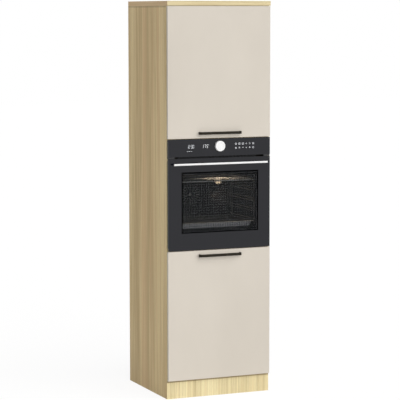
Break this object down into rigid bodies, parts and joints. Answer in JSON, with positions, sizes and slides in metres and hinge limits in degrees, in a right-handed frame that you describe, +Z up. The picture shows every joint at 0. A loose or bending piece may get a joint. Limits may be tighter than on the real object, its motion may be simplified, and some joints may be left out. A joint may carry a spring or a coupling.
{
  "type": "tall oven housing unit",
  "caption": "Tall kitchen unit on a plinth: built-in oven with a drop-down glass door between two hinged doors, under a cap board.",
  "frame": {"origin": "on the floor, under the middle of the unit's bounding box", "axes": "+X to the right seen from the front, +Y from the fronts to the wall, +Z up"},
  "size_m": [0.6, 0.604, 2.13],
  "materials": {
    "oak": "light oak veneer, upright grain, matt",
    "plinth_oak": "light oak veneer, upright grain, matt",
    "hardboard": "painted hardboard",
    "cashmere": "smooth matt laminate",
    "black_metal": "black powder coat",
    "screw_steel": "zinc plated",
    "zinc": "die-cast zinc",
    "nickel": "nickel plated",
    "casing_steel": "galvanised sheet",
    "enamel": "speckled vitreous enamel",
    "wire_chrome": "bright chromed wire",
    "gasket": "soft seal",
    "front_glass": "black-printed glass with a smoked window",
    "clear_glass": "clear glass",
    "black_plastic": "moulded",
    "fan_steel": "plain sheet",
    "element": "oxidised heating tube",
    "white_finish": "smooth white",
    "post_steel": "turned steel"
  },
  "bodies": {
    "unit": {"side_panel_left": "oak", "side_panel_right": "oak", "top_panel": "oak", "bottom_panel": "oak", "oven_shelf": "oak", "dividing_shelf": "oak", "upper_shelf": "oak", "lower_shelf": "oak", "back_panel_upper": "hardboard", "back_panel_lower": "hardboard", "wall_rail": "oak", "plinth_board": "plinth_oak", "shelf_pins": "screw_steel", "cam_fittings": "zinc", "hinge_arms": "nickel", "hinge_plates": "zinc", "front_frame": "black_metal", "casing_left": "casing_steel", "casing_right": "casing_steel", "casing_top": "casing_steel", "casing_base": "casing_steel", "casing_rear": "casing_steel", "oven_cavity": "enamel", "door_gasket": "gasket", "control_fascia": "front_glass", "control_housing": "black_plastic", "air_outlet": "black_plastic", "side_rack_left": "wire_chrome", "side_rack_right": "wire_chrome", "wire_rack": "wire_chrome", "baking_tray": "enamel", "fan_cover": "enamel", "fan_motor": "fan_steel", "ring_element": "element", "grill_element": "element", "oven_lamp": "clear_glass", "terminal_box": "black_plastic", "oven_hinge_arms": "zinc", "oven_screws": "screw_steel"},
    "upper_door": {"upper_door": "cashmere", "upper_handle": "black_metal", "upper_handle_screws": "screw_steel", "upper_hinge_cups": "nickel"},
    "lower_door": {"lower_door": "cashmere", "lower_handle": "black_metal", "lower_handle_screws": "screw_steel", "lower_hinge_cups": "nickel"},
    "upper_arm_links": {"upper_arm_links": "zinc"},
    "upper_cup_links": {"upper_cup_links": "zinc"},
    "lower_arm_links": {"lower_arm_links": "zinc"},
    "lower_cup_links": {"lower_cup_links": "zinc"},
    "oven_door": {"oven_door_glass": "front_glass", "oven_door_inner_glass": "clear_glass", "oven_door_columns": "black_metal", "oven_door_rails": "black_metal", "oven_door_hinges": "zinc", "oven_handle": "white_finish", "oven_handle_posts": "post_steel"},
    "control_knob": {"control_knob": "white_finish"},
    "fan_wheel": {"fan_wheel": "fan_steel"}
  },
  "joints": [
    {"name": "upper_door_swing", "type": "hinge", "parent": "unit", "child": "upper_door", "pos_m": [0.298, -0.274, 1.75], "axis": [0, 0, 1], "range_deg": [0, 105]},
    {"name": "upper_arm_links_turn", "type": "hinge", "parent": "unit", "child": "upper_arm_links", "pos_m": [0.2725, -0.252, 1.75], "axis": [0, 0, 1], "range_deg": [0, 113.17]},
    {"name": "upper_cup_links_turn", "type": "hinge", "parent": "upper_door", "child": "upper_cup_links", "pos_m": [0.269, -0.2645, 1.75], "axis": [0, 0, 1], "range_deg": [-94.62, 0]},
    {"name": "lower_door_swing", "type": "hinge", "parent": "unit", "child": "lower_door", "pos_m": [0.298, -0.274, 0.45], "axis": [0, 0, 1], "range_deg": [0, 105]},
    {"name": "lower_arm_links_turn", "type": "hinge", "parent": "unit", "child": "lower_arm_links", "pos_m": [0.2725, -0.252, 0.45], "axis": [0, 0, 1], "range_deg": [0, 113.17]},
    {"name": "lower_cup_links_turn", "type": "hinge", "parent": "lower_door", "child": "lower_cup_links", "pos_m": [0.269, -0.2645, 0.45], "axis": [0, 0, 1], "range_deg": [-94.62, 0]},
    {"name": "oven_door_drop", "type": "hinge", "parent": "unit", "child": "oven_door", "pos_m": [0, -0.266, 0.812], "axis": [1, 0, 0], "range_deg": [0, 90]},
    {"name": "control_knob_turn", "type": "hinge", "parent": "unit", "child": "control_knob", "pos_m": [0, -0.274, 1.358], "axis": [0, -1, 0], "continuous": true},
    {"name": "fan_spin", "type": "hinge", "parent": "unit", "child": "fan_wheel", "pos_m": [0, 0.15, 1.058], "axis": [0, 1, 0], "continuous": true}
  ],
  "couplings": [
    {"joint": "upper_arm_links_turn", "follows": "upper_door_swing", "ratio": 1.0683},
    {"joint": "upper_cup_links_turn", "follows": "upper_door_swing", "ratio": -0.8916},
    {"joint": "lower_arm_links_turn", "follows": "lower_door_swing", "ratio": 1.0683},
    {"joint": "lower_cup_links_turn", "follows": "lower_door_swing", "ratio": -0.8916}
  ]
}
